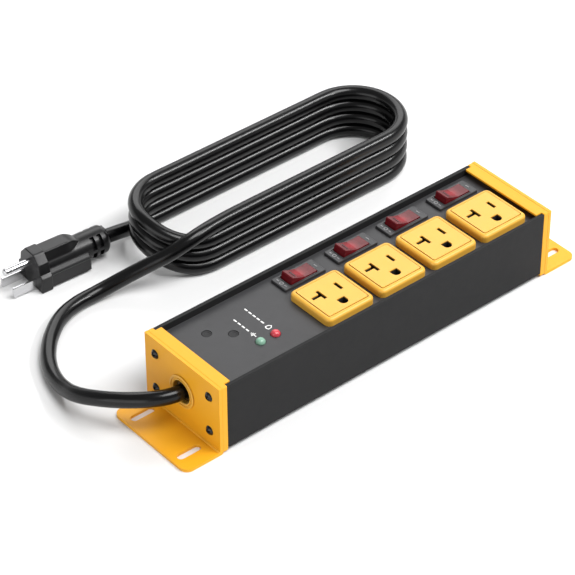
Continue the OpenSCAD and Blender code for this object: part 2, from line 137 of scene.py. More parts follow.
def loft(bm, rings, closed=False):
    """Faces between rings of equal length: the two ends are joined if closed, or else filled."""
    rows = [[bm.verts.new(p) for p in ring] for ring in rings]
    count = len(rows[0])
    pairs = list(zip(rows, rows[1:]))
    if closed:
        pairs.append((rows[-1], rows[0]))
    for lower, upper in pairs:
        for k in range(count):
            n = (k + 1) % count
            bm.faces.new((lower[k], lower[n], upper[n], upper[k]))
    if not closed:
        bm.faces.new(list(reversed(rows[0])))
        bm.faces.new(rows[-1])


def lathe(bm, profile, steps=48, place=None, dent=None):
    """Turns (radius, height) points about Z; dent may lower a point, place then moves them all."""
    made = []
    rings = []
    for r, z in profile:
        if r < 1e-9:
            rings.append([bm.verts.new((0, 0, z))])
        else:
            rings.append([
                bm.verts.new((r * math.cos(2 * math.pi * k / steps),
                              r * math.sin(2 * math.pi * k / steps), z))
                for k in range(steps)
            ])
        made += rings[-1]
    pairs = list(zip(rings, rings[1:]))
    if len(rings[0]) > 1 and len(rings[-1]) > 1:
        pairs.append((rings[-1], rings[0]))
    for a, b in pairs:
        for k in range(steps):
            n = (k + 1) % steps
            if len(a) == 1:
                bm.faces.new((a[0], b[k], b[n]))
            elif len(b) == 1:
                bm.faces.new((a[k], b[0], a[n]))
            else:
                bm.faces.new((a[k], b[k], b[n], a[n]))
    if dent is not None:
        for vert in made:
            vert.co.z -= dent(vert.co)
    if place is not None:
        bmesh.ops.transform(bm, matrix=place, verts=made)


def plate(bm, outline, holes, low, high, bevel, place=None, segments=2):
    """A flat plate between two heights, with holes, its top and bottom rims bevelled."""
    part = bmesh.new()
    edges = []
    for loop in [outline] + list(holes):
        ring = [part.verts.new((x, y, high)) for x, y in loop]
        edges += [part.edges.new((ring[i - 1], ring[i])) for i in range(len(ring))]
    bmesh.ops.triangle_fill(part, use_beauty=True, edges=edges, normal=(0, 0, 1))
    grown = bmesh.ops.extrude_face_region(part, geom=part.faces[:])
    lowered = [v for v in grown["geom"] if isinstance(v, bmesh.types.BMVert)]
    bmesh.ops.translate(part, vec=(0, 0, low - high), verts=lowered)
    bmesh.ops.recalc_face_normals(part, faces=part.faces)
    if bevel > 0:
        rims = [
            e for e in part.edges
            if len(e.link_faces) == 2 and sum(abs(f.normal.z) > 0.9 for f in e.link_faces) == 1
        ]
        bmesh.ops.bevel(part, geom=rims, offset=bevel, offset_type="OFFSET", segments=segments,
                        profile=0.5, affect="EDGES", clamp_overlap=True)
    if place is not None:
        bmesh.ops.transform(part, matrix=place, verts=part.verts)
    scratch = bpy.data.meshes.new("scratch")
    part.to_mesh(scratch)
    part.free()
    bm.from_mesh(scratch)
    bpy.data.meshes.remove(scratch)


def along_x(x, y, z, side=1):
    """Turns what is drawn up Z so that it points along X, outward on that side, from a place."""
    return Matrix.Translation((x, y, z)) @ Matrix.Rotation(side * math.pi / 2, 4, "Y")


def facing_y(x, y, z):
    """Turns a plate drawn in X and Y so that it lies in X and Z about a place."""
    return Matrix.Translation((x, y, z)) @ Matrix.Rotation(math.pi / 2, 4, "X")


def add_object(name, data):
    """A new object in the scene."""
    obj = bpy.data.objects.new(name, data)
    bpy.context.scene.collection.objects.link(obj)
    return obj


def piece(name, bm, material, body, replaced, sharp=32):
    """A finished mesh piece that rides on a body and stands for CAD nodes."""
    bmesh.ops.remove_doubles(bm, verts=bm.verts, dist=1e-7)
    bmesh.ops.recalc_face_normals(bm, faces=bm.faces)
    mesh = bpy.data.meshes.new(name)
    bm.to_mesh(mesh)
    bm.free()
    mesh.shade_smooth()
    mesh.set_sharp_from_angle(angle=math.radians(sharp))
    obj = add_object(name, mesh)
    mesh.materials.append(material)
    even = obj.modifiers.new("even", "WEIGHTED_NORMAL")
    even.keep_sharp = True
    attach(obj, body)
    if replaced:
        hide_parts(*replaced)
    return obj


# ---------------------------------------------------------------- materials

NOISE_ROUGHNESS = 0.55


def set_stops(ramp, stops):
    """Gives a colour ramp its stops, each a place from 0 to 1 and a colour."""
    marks = ramp.color_ramp.elements
    while len(marks) < len(stops):
        marks.new(1.0)
    for mark, (place, colour) in zip(marks, stops):
        mark.position = place
        mark.color = (*colour, 1)


class Nodes:
    """A material's node tree with short ways to add and join nodes."""

    def __init__(self, name):
        self.material = bpy.data.materials.new(name)
        self.material.use_nodes = True
        self.tree = self.material.node_tree
        self.shader = self.tree.nodes["Principled BSDF"]
        self.object_place = self.add("ShaderNodeTexCoord").outputs["Object"]

    def add(self, kind, **settings):
        """A new node: each setting is one of its inputs, or else a property."""
        node = self.tree.nodes.new(kind)
        for key, value in settings.items():
            if key in node.inputs:
                node.inputs[key].default_value = value
            else:
                setattr(node, key, value)
        return node

    def join(self, output, target):
        """Joins a node's output to an input."""
        self.tree.links.new(output, target)

    def noise(self, scale, detail=4.0, stretch=(1, 1, 1)):
        """Noise in row-frame metres: scale is in cycles per metre, stretch slows an axis."""
        spread = self.add("ShaderNodeMapping")
        spread.inputs["Scale"].default_value = stretch
        self.join(self.object_place, spread.inputs["Vector"])
        node = self.add("ShaderNodeTexNoise", Scale=scale, Detail=detail,
                        Roughness=NOISE_ROUGHNESS)
        self.join(spread.outputs["Vector"], node.inputs["Vector"])
        return node.outputs["Fac"]

    def ramp(self, factor, stops):
        """A colour along a factor that runs from 0 to 1."""
        node = self.add("ShaderNodeValToRGB")
        set_stops(node, stops)
        self.join(factor, node.inputs["Fac"])
        return node.outputs["Color"]

    def grey_range(self, factor, low, high):
        """A factor from 0 to 1 made to run between two values."""
        node = self.add("ShaderNodeMapRange")
        node.inputs["To Min"].default_value = low
        node.inputs["To Max"].default_value = high
        self.join(factor, node.inputs["Value"])
        return node.outputs["Result"]

    def bump(self, height, strength, distance, under=None):
        """A bumped normal, distance in metres, laid over another one if there is one."""
        node = self.add("ShaderNodeBump", Strength=strength, Distance=distance)
        self.join(height, node.inputs["Height"])
        if under is not None:
            self.join(under, node.inputs["Normal"])
        return node.outputs["Normal"]

    def set(self, **values):
        """Sets the shader's own inputs, with _ for a space in their names."""
        for key, value in values.items():
            self.shader.inputs[key.replace("_", " ")].default_value = value


def shade(colour, factor):
    """A colour made darker or lighter."""
    return tuple(min(1.0, c * factor) for c in colour)


def painted(name, colour, roughness, peel=0.15, mottle=0.05, gloss=0.5):
    """Powder coat or moulded skin: faint mottling, orange-peel bump and uneven gloss."""
    n = Nodes(name)
    patches = n.noise(60, detail=3)
    n.join(n.ramp(patches, [(0.3, shade(colour, 1 - mottle)), (0.7, shade(colour, 1 + mottle))]),
           n.shader.inputs["Base Color"])
    n.join(n.grey_range(n.noise(220, detail=5), roughness - 0.05, roughness + 0.06),
           n.shader.inputs["Roughness"])
    fine = n.bump(n.noise(2600, detail=2), peel, 0.00004)
    n.join(n.bump(n.noise(900, detail=2), peel, 0.00008, under=fine), n.shader.inputs["Normal"])
    n.set(Specular_IOR_Level=gloss)
    return n


def rubber(name, colour, roughness, gloss=0.5, grain=0.18):
    """Satin cord or plug skin with a fine matt grain and faint handling marks."""
    n = Nodes(name)
    smudges = n.noise(35, detail=4)
    n.join(n.ramp(smudges, [(0.35, shade(colour, 0.8)), (0.7, shade(colour, 1.5))]),
           n.shader.inputs["Base Color"])
    n.join(n.grey_range(n.noise(120, detail=5), roughness - 0.05, roughness + 0.08),
           n.shader.inputs["Roughness"])
    n.join(n.bump(n.noise(4200, detail=2), grain, 0.00003), n.shader.inputs["Normal"])
    n.set(Specular_IOR_Level=gloss)
    return n


def brushed(name, colour, roughness, stretch, grain=0.12):
    """Plated metal with fine drawn lines along one axis."""
    n = Nodes(name)
    lines = n.noise(3000, detail=3, stretch=stretch)
    n.join(n.ramp(lines, [(0.3, shade(colour, 0.86)), (0.7, shade(colour, 1.06))]),
           n.shader.inputs["Base Color"])
    n.join(n.grey_range(lines, roughness - 0.06, roughness + 0.08), n.shader.inputs["Roughness"])
    n.join(n.bump(lines, grain, 0.00002), n.shader.inputs["Normal"])
    n.set(Metallic=1.0)
    return n


def glowing(name, colour, lit, centre, reach, strength, roughness=0.12, gloss=0.5):
    """Translucent coloured plastic with a lamp inside: brightest near centre, dark beyond reach."""
    n = Nodes(name)
    away = n.add("ShaderNodeVectorMath", operation="DISTANCE")
    n.join(n.object_place, away.inputs[0])
    away.inputs[1].default_value = centre
    near = n.add("ShaderNodeMapRange", interpolation_type="SMOOTHERSTEP")
    near.inputs["From Min"].default_value = 0.0
    near.inputs["From Max"].default_value = reach
    near.inputs["To Min"].default_value = 1.0
    near.inputs["To Max"].default_value = 0.0
    n.join(away.outputs["Value"], near.inputs["Value"])
    cloud = n.noise(500, detail=2)
    n.join(n.ramp(cloud, [(0.35, shade(colour, 0.85)), (0.7, shade(colour, 1.15))]),
           n.shader.inputs["Base Color"])
    glow = [(0.0, shade(lit, 0.02)), (0.5, shade(lit, 0.35)), (1.0, lit)]
    n.join(n.ramp(near.outputs["Result"], glow), n.shader.inputs["Emission Color"])
    n.join(n.bump(cloud, 0.05, 0.00003), n.shader.inputs["Normal"])
    n.set(Roughness=roughness, Specular_IOR_Level=gloss, Emission_Strength=strength)
    return n


YELLOW = (0.76, 0.355, 0.014)
AMBER = (0.71, 0.38, 0.048)
ROCKER_RED = (0.10, 0.003, 0.006)
ROCKER_GLOW = (1.0, 0.07, 0.09)

housing_paint = painted("housing_paint", (0.012, 0.012, 0.0125), 0.50, peel=0.2, gloss=0.15).material
panel_paint = painted("panel_paint", (0.034, 0.034, 0.036), 0.50, peel=0.25, gloss=0.42).material
yellow_metal = painted("yellow_metal", YELLOW, 0.42, peel=0.12, mottle=0.02, gloss=0.28).material
yellow_plastic = painted("yellow_plastic", AMBER, 0.36, peel=0.06, mottle=0.02, gloss=0.40).material
black_screw = painted("black_screw", (0.004, 0.004, 0.004), 0.18, peel=0.05, gloss=0.4).material
black_plastic = painted("black_plastic", (0.020, 0.020, 0.022), 0.40, peel=0.2).material
button_black = painted("button_black", (0.016, 0.016, 0.017), 0.75, peel=0.2).material
mark_grey = painted("mark_grey", (0.20, 0.20, 0.205), 0.45, peel=0.1).material
cord_rubber = rubber("cord_rubber", (0.002, 0.002, 0.0022), 0.22, gloss=0.32, grain=0.05).material
plug_rubber = rubber("plug_rubber", (0.005, 0.005, 0.0054), 0.30, gloss=0.35, grain=0.12).material
prong_metal = brushed("prong_metal", (0.60, 0.60, 0.61), 0.18, (0.05, 1, 1), grain=0.03).material
copper_strip = brushed("copper_strip", (0.85, 0.52, 0.30), 0.30, (0.05, 1, 1)).material
steel = brushed("steel", (0.66, 0.66, 0.68), 0.32, (1, 1, 0.05)).material
board_green = painted("board", (0.03, 0.20, 0.08), 0.40, peel=0.1).material
varistor_blue = painted("varistor", (0.04, 0.12, 0.45), 0.25, peel=0.1).material
white_insulation = painted("white_insulation", (0.80, 0.80, 0.77), 0.40, peel=0.1).material
green_insulation = painted("green_insulation", (0.04, 0.35, 0.10), 0.40, peel=0.1).material
black_insulation = painted("black_insulation", (0.02, 0.02, 0.02), 0.40, peel=0.1).material
print_white = painted("print_white", (0.80, 0.80, 0.79), 0.50, peel=0.2).material


# ---------------------------------------------------------------- parts kept from the CAD frame

# Node: its material and how far its edges are broken, in millimetres
CARRIED = {
    "housing": (housing_paint, 0.35),
    "left_end_cap": (yellow_metal, 0.4), "right_end_cap": (yellow_metal, 0.4),
    "left_bracket": (yellow_metal, 0.4), "right_bracket": (yellow_metal, 0.4),
    "gland_nut": (black_plastic, 0.3), "strain_relief": (cord_rubber, 0),
    "outlet_base_1": (black_plastic, 0), "outlet_base_2": (black_plastic, 0),
    "outlet_base_3": (black_plastic, 0), "outlet_base_4": (black_plastic, 0),
    "live_contacts": (copper_strip, 0), "neutral_busbar": (copper_strip, 0),
    "ground_busbar": (copper_strip, 0), "live_busbar": (copper_strip, 0),
    "ground_screw": (steel, 0), "switch_terminals": (steel, 0),
    "switch_leads": (black_insulation, 0), "control_board": (board_green, 0),
    "varistors": (varistor_blue, 0), "board_standoffs": (steel, 0), "board_screws": (steel, 0),
    "live_wire": (black_insulation, 0), "neutral_wire": (white_insulation, 0),
    "ground_wire": (green_insulation, 0),
}


def carry(node, material, width):
    """A CAD part keeps its mesh and gets a material and softly broken edges."""
    obj = frame["nodes"][node]
    obj.data.materials.clear()
    obj.data.materials.append(material)
    weld = obj.modifiers.new("join", "WELD")
    weld.merge_threshold = 1e-6
    if width:
        edge = obj.modifiers.new("edges", "BEVEL")
        edge.width = width * MM
        edge.segments = 3
        edge.limit_method = "ANGLE"
        edge.angle_limit = math.radians(30)
        edge.harden_normals = True


# ---------------------------------------------------------------- panel, marks and lamps


def lamp_spot(node):
    """Where a lamp stands on the panel."""
    spot = middle(node)
    return (spot.x, spot.y)


# Where the two blanking plugs are, the radii of their faces, flanges and dishes, and the lamps'
# lens and pins
BLANK_SPOTS = [mm(-97, 13.7), mm(-85.6, 4)]
BLANK_R = 2.95 * MM
BLANK_FLANGE_R = 3.4 * MM
DISH_R = 1.8 * MM
LAMP_R = 2.9 * MM
LAMP_PIN_R = 0.3 * MM
LAMP_PIN_DX = 1.27 * MM
# Each lamp: the colour of its lens and of its light
LENSES = {
    "green_lamp": ((0.17, 0.31, 0.23), (0.22, 0.43, 0.32)),
    "red_lamp": ((0.45, 0.04, 0.055), (0.75, 0.13, 0.15)),
}
# Openings in the panel for an outlet and for a switch
OUTLET_HOLE = 32 * MM
SWITCH_HOLE = (27 * MM, 12 * MM)


def make_panel():
    """The recessed plate with its outlet, switch, lamp and plug holes."""
    low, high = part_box("top_panel")
    outline = rounded_rect(high.x - low.x, high.y - low.y, 0.2 * MM, steps=1)
    holes = []
    for n in OUTLETS:
        spot = middle(f"outlet_bezel_{n}")
        holes.append(rounded_rect(OUTLET_HOLE, OUTLET_HOLE, 1 * MM, steps=3, at=(spot.x, spot.y)))
        spot = middle(f"switch_frame_{n}")
        holes.append(rounded_rect(*SWITCH_HOLE, 0.5 * MM, steps=3, at=(spot.x, spot.y)))
    for node in LENSES:
        holes.append(disc(LAMP_R + 0.25 * MM, at=lamp_spot(node)))
    for spot in BLANK_SPOTS:
        holes.append(disc(BLANK_R + 0.1 * MM, at=(spot.x, spot.y)))
    bm = bmesh.new()
    plate(bm, outline, holes, low.z, high.z, 0.15 * MM)
    piece("panel_plate", bm, panel_paint, BOX, ["top_panel"])


def make_blanking_plugs():
    """Push-in buttons with a shallow dish, just below the panel's face."""
    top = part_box("blanking_plugs")[1].z
    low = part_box("blanking_plugs")[0].z
    bm = bmesh.new()
    for spot in BLANK_SPOTS:
        profile = [(0, low), (BLANK_FLANGE_R, low), (BLANK_FLANGE_R, low + 1.2 * MM)]
        profile += [(BLANK_R, low + 1.3 * MM), (BLANK_R, top - 0.3 * MM)]
        profile += [(BLANK_R - 0.3 * MM, top), (2.1 * MM, top)]
        profile += [(DISH_R, top - 0.25 * MM), (0, top - 0.35 * MM)]
        lathe(bm, profile, place=Matrix.Translation((spot.x, spot.y, 0)))
    piece("blank_buttons", bm, button_black, BOX, ["blanking_plugs"])


def make_lamp(node, tint, lit):
    """A domed lens with a flat shoulder ring, and its two pins down to the board."""
    x, y = lamp_spot(node)
    low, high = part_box(node)
    collar = PANEL_TOP + 0.5 * MM
    seat = low.z + 3.4 * MM
    dome = arc((0, collar - 0.6 * MM), LAMP_R - 0.05 * MM, 12, 90, steps=10)
    squash = (high.z - collar) / (dome[-1][1] - collar)
    dome = [(r, collar + max(0, z - collar) * squash) for r, z in dome[:-1]] + [(0, high.z)]
    bm = bmesh.new()
    profile = [(0, seat), (LAMP_R, seat), (LAMP_R, collar - 0.1 * MM),
               (LAMP_R - 0.1 * MM, collar)] + dome
    lathe(bm, profile, place=Matrix.Translation((x, y, 0)))
    for side in (-1, 1):
        lathe(bm, [(0, low.z), (LAMP_PIN_R, low.z), (LAMP_PIN_R, seat), (0, seat)], steps=12,
              place=Matrix.Translation((x + side * LAMP_PIN_DX, y, 0)))
    glow = glowing(f"{node}_glass", tint, lit, (x, y, high.z - 1.2 * MM), 3.6 * MM, 0.55, 0.16)
    colour = node.split("_")[0]
    piece(f"{colour}_lens", bm, glow.material, BOX, [node])


def bar_mark(bm, centre, length, width, low, high):
    """A thin raised bar that runs across the panel, along Y, with round ends."""
    outline = rounded_rect(width, length, width * 0.45, steps=4, at=centre)
    plate(bm, outline, [], low, high, 0)


# White print on the panel: its thickness, its place beside the lamps, and its signs in millimetres
PRINT_H = 0.04 * MM
SIGN_SHIFT_X = 0.9 * MM
SIGN_Y = 6.4 * MM
EARTH_BARS = (3.4, 2.2, 1.0)
SHIELD = [(-1.7, -1.5), (0, -2.1), (1.7, -1.5), (1.5, 0.9), (0, 2.3), (-1.5, 0.9)]
DASH_PITCH = 3.6


def make_panel_print():
    """Plain white signs beside the lamps: an earth sign, a shield, and a dashed rule for each."""
    bm = bmesh.new()
    low, high = PANEL_TOP - 0.01 * MM, PANEL_TOP + PRINT_H
    green_x, red_x = (lamp_spot(node)[0] + SIGN_SHIFT_X for node in LENSES)
    first_y = lamp_spot("green_lamp")[1] + SIGN_Y
    stem_at = (green_x, first_y - 0.4 * MM)
    plate(bm, rounded_rect(0.55 * MM, 2.0 * MM, 0.2 * MM, at=stem_at), [], low, high, 0)
    for k, width in enumerate(EARTH_BARS):
        bar_at = (green_x, first_y + (0.9 + 0.9 * k) * MM)
        plate(bm, rounded_rect(width * MM, 0.5 * MM, 0.2 * MM, at=bar_at), [], low, high, 0)
    outer = fillet([(y, -x) for x, y in SHIELD], 0.35)
    inner = [(x * 0.68, y * 0.68) for x, y in outer]
    shield_at = (red_x, first_y + 0.6 * MM)
    plate(bm, moved(outer, shield_at), [moved(inner, shield_at)], low, high, 0)
    for x, dashes in ((green_x, 4), (red_x, 5)):
        for k in range(dashes):
            dash_at = (x, first_y + (6.2 + DASH_PITCH * k) * MM)
            bar_mark(bm, dash_at, 2.6 * MM, 0.9 * MM, low, high)
    piece("panel_print", bm, print_white, BOX, [])


# ---------------------------------------------------------------- outlets

FACE_GAP = 0.5 * MM
# How thick the yellow top of a face is: below it the slot walls are black, as painted shade
FACE_T = 0.8 * MM
FACE_CORNER = 0.9 * MM
BEZEL_CORNER = 3.6 * MM
BEZEL_ROUND = 2.1 * MM
SKIRT_INSET = 1.8 * MM
# Prong slots, in millimetres from the middle of the two flat ones
LIVE_AT = (6.35, 0)
NEUTRAL_AT = (-6.35, 0)
GROUND_AT = (0, -11.9)
TEE_SLOT = [(1.1, -4.2), (1.1, 4.2), (-1.1, 4.2), (-1.1, 1.2), (-6.6, 1.2), (-6.6, -1.2),
            (-1.1, -1.2), (-1.1, -4.2)]
LIVE_SLOT = (2.2, 6.9)
GROUND_R = 2.8
PRONGS_FROM_MIDDLE = mm(1, 3.2)


def make_bezel(n):
    """A square rim with a rounded outer edge, and the sleeve that drops through the panel."""
    low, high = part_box(f"outlet_bezel_{n}")
    face_low, face_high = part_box(f"outlet_face_{n}")
    at = ((face_low.x + face_high.x) / 2, (face_low.y + face_high.y) / 2)
    size = 2 * (high.x - at[0])
    rim = (size - (face_high.x - face_low.x)) / 2 - FACE_GAP
    lip = 0.15 * MM
    profile = [(SKIRT_INSET, low.z), (SKIRT_INSET, PANEL_TOP), (0.15 * MM, PANEL_TOP),
               (0, PANEL_TOP + 0.15 * MM)]
    profile += [(BEZEL_ROUND - r, z) for r, z in
                arc((0, high.z - BEZEL_ROUND), BEZEL_ROUND, 0, 90, steps=8)]
    profile += [(rim - lip, high.z), (rim - lip * 0.3, high.z - lip * 0.3), (rim, high.z - lip),
                (rim, low.z)]
    rings = []
    for inset, z in profile:
        corner = max(BEZEL_CORNER - inset * 0.9, 0.8 * MM)
        outline = rounded_rect(size - 2 * inset, size - 2 * inset, corner, steps=8, at=at)
        rings.append([(x, y, z) for x, y in outline])
    bm = bmesh.new()
    loft(bm, rings, closed=True)
    piece(f"bezel_{n}", bm, yellow_plastic, BOX, [f"outlet_bezel_{n}"])


def make_face(n):
    """A flat insert with a tee slot, a straight slot and a ground hole, edges crisply broken; below
    its thin yellow top the slot walls, and a sheet under the gap round it, are black as painted
    shade.
    """
    low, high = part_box(f"outlet_face_{n}")
    at = Vector(((low.x + high.x) / 2, (low.y + high.y) / 2))
    prongs = at + Vector(PRONGS_FROM_MIDDLE)
    size = high.x - low.x
    tee = fillet(TEE_SLOT, 0.25, steps=2)
    arch = [(GROUND_R, 0), (GROUND_R, 3), (-GROUND_R, 3), (-GROUND_R, 0)]
    ground = fillet(arch, [0, 0.4, 0.4, 0], steps=3)
    ground += arc((0, 0), GROUND_R, 190, 350, steps=16)
    holes = [
        moved(tee, prongs + Vector(NEUTRAL_AT) * MM),
        rounded_rect(LIVE_SLOT[0] * MM, LIVE_SLOT[1] * MM, 0.25 * MM, steps=2,
                     at=prongs + Vector(LIVE_AT) * MM),
        moved(ground, prongs + Vector(GROUND_AT) * MM),
    ]
    outline = rounded_rect(size, size, FACE_CORNER, at=at)
    bm = bmesh.new()
    plate(bm, outline, holes, high.z - FACE_T, high.z, 0.15 * MM)
    piece(f"face_{n}", bm, yellow_plastic, BOX, [f"outlet_face_{n}"])
    # Painted shade: below the yellow top the slot walls are black, and a black sheet fills the gap
    # round the face
    bm = bmesh.new()
    plate(bm, outline, holes, low.z, high.z - FACE_T, 0)
    gap_shade_size = size + 1.7 * FACE_GAP
    gap_shade = rounded_rect(gap_shade_size, gap_shade_size, 1.1 * MM, at=at)
    gap_shade_hole = rounded_rect(size + 0.1 * MM, size + 0.1 * MM, FACE_CORNER, at=at)
    plate(bm, gap_shade, [gap_shade_hole], low.z, high.z - 0.9 * MM, 0)
    piece(f"face_painted_shade_{n}", bm, black_plastic, BOX, [])


# ---------------------------------------------------------------- switches

# A switch frame's sleeve below the panel, its opening and the lip round it, in millimetres
FRAME_SKIRT = (26.6, 11.8)
FRAME_OPEN = (20.4, 10)
FRAME_LIP = 0.3
PIVOT_Z = frame["record"]["behaviour"]["joints"][0]["pos_m"][2]
ROCKER_W = 9.3
ROCKER_TILT = 10
# One end of a rocker's side view about its pivot, from the dip in its top to its lowest corner
ROCKER_END = [(0, 4.16), (4.6, 4.75), (9.1, 5.8), (9.42, 5.2), (9.85, 0.5), (8.4, -2.6), (4, -4.6)]
ROCKER_ROUND = [1.2, 4, 0.5, 0.4, 0.6, 0.8, 0.8]
PIVOT_PIN_R = 1.0
PIVOT_PIN_REACH = 5.8
# The dark grip bar near a rocker's raised end, about its pivot, and its slope in degrees
GRIP_BAR_AT = (-5.7, 0, 5.0)
GRIP_BAR_SLOPE = 9
# How far a frame's off and on signs stand from the middle of the switch
SIGN_OUT = 12.7


def switch_place(n):
    """The middle of a switch, across the panel."""
    low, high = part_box(f"switch_frame_{n}")
    return (low.x + high.x) / 2, (low.y + high.y) / 2


def make_switch_frame(n):
    """A moulded frame: a bevelled flange, a low lip round the rocker, and the well below it."""
    low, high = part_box(f"switch_frame_{n}")
    at = switch_place(n)
    flange_l, flange_w = (high.x - low.x) / MM, (high.y - low.y) / MM
    skirt_l, skirt_w = FRAME_SKIRT
    open_l, open_w = FRAME_OPEN
    top = high.z / MM
    panel = PANEL_TOP / MM
    # Length, width, corner radius and height of each ring, in millimetres
    sections = [
        (skirt_l, skirt_w, 0.4, low.z / MM),
        (skirt_l, skirt_w, 0.4, panel),
        (flange_l - 0.1, flange_w - 0.1, 1.0, panel),
        (flange_l, flange_w, 1.0, panel + 0.1),
        (flange_l, flange_w, 1.0, top - 0.75),
        (flange_l - 0.5, flange_w - 0.3, 0.9, top - 0.25),
        (flange_l - 1.1, flange_w - 0.7, 0.8, top),
        (open_l + 1.5, open_w + 1.5, 0.9, top),
        (open_l + 1.2, open_w + 1.2, 0.8, top + FRAME_LIP),
        (open_l + 0.4, open_w + 0.4, 0.7, top + FRAME_LIP),
        (open_l, open_w, 0.6, top),
        (open_l, open_w, 0.6, low.z / MM + 1.5),
    ]
    rings = []
    for ring_l, ring_w, corner, z in sections:
        outline = rounded_rect(ring_l * MM, ring_w * MM, corner * MM, steps=4, at=at)
        rings.append([(x, y, z * MM) for x, y in outline])
    bm = bmesh.new()
    loft(bm, rings)
    piece(f"frame_{n}", bm, black_plastic, BOX, [f"switch_frame_{n}"])


def make_switch_marks(n):
    """Raised off and on signs at the two ends of a frame: a ring between bars, and one bar."""
    x, y = switch_place(n)
    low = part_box(f"switch_frame_{n}")[1].z - 0.02 * MM
    high = low + 0.2 * MM
    bm = bmesh.new()
    off_x, on_x = x - SIGN_OUT * MM, x + SIGN_OUT * MM
    plate(bm, disc(1.35 * MM, at=(off_x, y)), [disc(0.8 * MM, at=(off_x, y))], low, high, 0.06 * MM)
    for side in (-1, 1):
        bar_mark(bm, (off_x, y + side * 3.4 * MM), 1.9 * MM, 0.6 * MM, low, high)
    bar_mark(bm, (on_x, y), 3.0 * MM, 0.6 * MM, low, high)
    piece(f"switch_signs_{n}", bm, mark_grey, BOX, [])


def make_rocker(n):
    """A translucent rocker, tipped to its rest position, with its two pivot pins and grip bar."""
    x, y = switch_place(n)
    tip = Matrix.Translation((x, y, PIVOT_Z)) @ Matrix.Rotation(math.radians(ROCKER_TILT), 4, "Y")
    half = ROCKER_W / 2 * MM
    mirrored = [(-px, pz) for px, pz in ROCKER_END[:0:-1]]
    outline = fillet(ROCKER_END + mirrored, ROCKER_ROUND + ROCKER_ROUND[:0:-1], steps=4)
    upright = tip @ Matrix.Rotation(math.pi / 2, 4, "X")
    bm = bmesh.new()
    plate(bm, moved(outline), [], -half, half, 0.35 * MM, place=upright, segments=3)
    for side in (-1, 1):
        pin = upright @ Matrix.Scale(side, 4, (0, 0, 1))
        root = half - 0.5 * MM
        pin_r, reach = PIVOT_PIN_R * MM, PIVOT_PIN_REACH * MM
        lathe(bm, [(0, root), (pin_r, root), (pin_r, reach - 0.2 * MM), (pin_r - 0.2 * MM, reach),
                   (0, reach)], steps=24, place=pin)
    centre = tip @ mm(-1.2, 0, 3.6)
    glow = glowing(f"rocker_glass_{n}", ROCKER_RED, ROCKER_GLOW, centre, 7.5 * MM, 0.28,
                   roughness=0.26, gloss=0.3)
    piece(f"rocker_cap_{n}", bm, glow.material, f"rocker_{n}", [f"rocker_{n}"])
    bm = bmesh.new()
    slope = Matrix.Rotation(math.radians(GRIP_BAR_SLOPE), 4, "Y")
    plate(bm, rounded_rect(0.75 * MM, 5.2 * MM, 0.3 * MM), [], -0.4 * MM, 0.18 * MM, 0.1 * MM,
          place=tip @ Matrix.Translation(mm(*GRIP_BAR_AT)) @ slope)
    piece(f"rocker_bar_{n}", bm, black_plastic, f"rocker_{n}", [])


# ---------------------------------------------------------------- end screws and grommet

# An end screw and the arms of its cross recess, in millimetres
SCREW_R = 1.5
HEAD_R = 3
HEAD_H = 1.8
DOME_STEPS = 30
ARM_W = 0.36
ARM_L = 1.75
ARM_DEPTH = 1.1
# The grommet's bore, its neck in the plate and the outside of the bead round its mouth, as radii;
# how far the bead's inner edge is rounded and the flange's foot undercut
BORE_R = 7.2
NECK_R = 8.5
BEAD_R = 8.4
BEAD_ROUND = 0.8
UNDERCUT = 0.7


def cross_dent(point):
    """Depth of a cross recess at a point of a screw's dome, in metres."""
    x, y = abs(point.x) / MM, abs(point.y) / MM
    if point.z < 0.2 * MM or math.hypot(x, y) > ARM_L + 0.3:
        return 0.0
    narrow, long_way = min(x, y), max(x, y)
    across = min(1.0, max(0.0, (ARM_W + 0.12 - narrow) / 0.2))
    lengthwise = min(1.0, max(0.0, (ARM_L - long_way) / 0.35))
    return ARM_DEPTH * MM * across * lengthwise


def make_screws(side, node):
    """Domed cross-head screws that hold a bracket and its cap to the housing."""
    dome_r = (HEAD_R ** 2 + HEAD_H ** 2) / (2 * HEAD_H)
    profile = [(0, HEAD_H)]
    for k in range(1, DOME_STEPS + 1):
        r = HEAD_R * 0.97 * k / DOME_STEPS
        profile.append((r, HEAD_H - dome_r + math.sqrt(dome_r ** 2 - r ** 2)))
    profile += [(HEAD_R, 0.12), (HEAD_R - 0.1, 0), (SCREW_R, 0), (SCREW_R, -SCREW_L), (0, -SCREW_L)]
    profile = [(r * MM, z * MM) for r, z in profile]
    low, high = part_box(node)
    bm = bmesh.new()
    for y in (low.y + HEAD_R * MM, high.y - HEAD_R * MM):
        for z in (low.z + HEAD_R * MM, high.z - HEAD_R * MM):
            # Each cross stands at an angle of its own, as hand-driven screws do
            spin = Matrix.Rotation(math.radians(20 + 900 * (y + 2 * z)), 4, "Z")
            lathe(bm, profile, steps=72, place=along_x(side * OUTER_X, y, z, side) @ spin,
                  dent=cross_dent)
    piece(f"{node}_heads", bm, black_screw, BOX, [node])


def make_grommet():
    """A flanged ring in the end plate, with a bead round its mouth; heights run into the box."""
    low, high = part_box("cord_grommet")
    outer_r = (high.z - low.z) / 2
    length = high.x - low.x - 1 * MM
    edge_r = outer_r / MM
    foot_r = edge_r - UNDERCUT
    profile = [(BORE_R, length / MM), (NECK_R, length / MM), (NECK_R, 0), (foot_r, 0)]
    profile += [(foot_r, -0.4), (edge_r, -0.4)]
    profile += arc((edge_r - 0.5, -0.5), 0.5, 0, -90, steps=5)
    profile += [(9.3, -1.0), (9.1, -0.5), (8.6, -0.5), (BEAD_R, -1.0)]
    profile += arc((BORE_R + BEAD_ROUND, -0.2), BEAD_ROUND, -90, -180, steps=5)
    bm = bmesh.new()
    turn = along_x(-OUTER_X, 0, CORD_Z, 1)
    lathe(bm, [(r * MM, z * MM) for r, z in profile], steps=72, place=turn)
    piece("grommet_ring", bm, yellow_plastic, BOX, ["cord_grommet"])


# ---------------------------------------------------------------- mains plug

